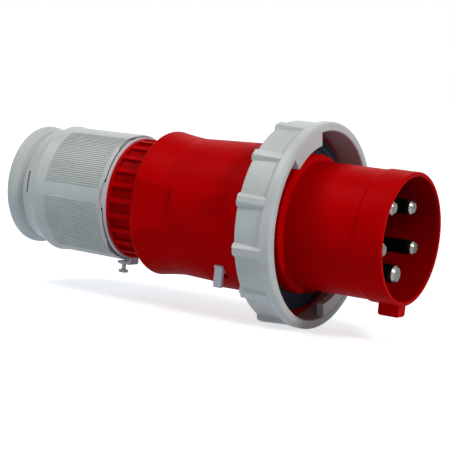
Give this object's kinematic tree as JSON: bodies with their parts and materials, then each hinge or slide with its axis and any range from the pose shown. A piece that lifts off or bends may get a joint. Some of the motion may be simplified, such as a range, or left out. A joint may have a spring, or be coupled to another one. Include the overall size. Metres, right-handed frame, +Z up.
{
  "type": "industrial pin and sleeve plug",
  "caption": "Round watertight industrial power plug with a keyed sleeve, plain contact pins, a bayonet lock ring, a grip housing and a cable gland with a flared mouth.",
  "frame": {"origin": "centre of the sleeve's front rim", "axes": "+X along the plug's axis out of the mating face, +Z up with the key nub at the bottom"},
  "size_m": [0.2467, 0.114, 0.114],
  "materials": {
    "red_plastic": "moulded, satin",
    "grey_plastic": "moulded, satin",
    "light_grey_plastic": "moulded, satin",
    "black_plastic": "moulded, matt",
    "dark_rubber": "matt",
    "nickel": "nickel plated brass, turned",
    "steel": "zinc plated"
  },
  "bodies": {
    "root": {"shroud": "red_plastic", "rear_housing": "red_plastic", "flange_gasket": "dark_rubber", "housing_o_ring": "dark_rubber", "cable_grommet": "dark_rubber", "contact_earth": "nickel", "contact_l1": "nickel", "contact_l2": "nickel", "contact_l3": "nickel", "contact_neutral": "nickel", "contact_pilot": "nickel", "terminal_screws": "steel", "carrier_screws": "steel", "contact_carrier": "black_plastic", "carrier_retainer": "black_plastic", "clamp_cage": "light_grey_plastic", "gland_lock_ring": "light_grey_plastic"},
    "lock_ring": {"lock_ring": "grey_plastic"},
    "housing_slide": {"housing_lock_slide": "grey_plastic"},
    "lock_screw": {"gland_lock_screw": "steel"},
    "gland_washer": {"thrust_washer": "black_plastic"},
    "gland_nut": {"gland_nut": "grey_plastic", "bell_mouth": "grey_plastic"}
  },
  "joints": [
    {"name": "lock_ring_turn", "type": "hinge", "parent": "root", "child": "lock_ring", "pos_m": [-0.065, 0, 0], "axis": [1, 0, 0], "range_deg": [0, 45]},
    {"name": "housing_slide_release", "type": "hinge", "parent": "root", "child": "housing_slide", "pos_m": [-0.0982, 0, 0], "axis": [1, 0, 0], "range_deg": [0, 6]},
    {"name": "lock_screw_drive", "type": "slide", "parent": "root", "child": "lock_screw", "axis": [0, 0, 1], "range_m": [0, 0.0035]},
    {"name": "gland_washer_shift", "type": "slide", "parent": "root", "child": "gland_washer", "axis": [-1, 0, 0], "range_m": [0, 0.0081]},
    {"name": "gland_nut_turn", "type": "hinge", "parent": "gland_washer", "child": "gland_nut", "pos_m": [-0.2, 0, 0], "axis": [-1, 0, 0], "range_deg": [0, 720]}
  ],
  "couplings": [
    {"joint": "gland_washer_shift", "follows": "gland_nut_turn", "m_per_rad": 0.00063662}
  ]
}
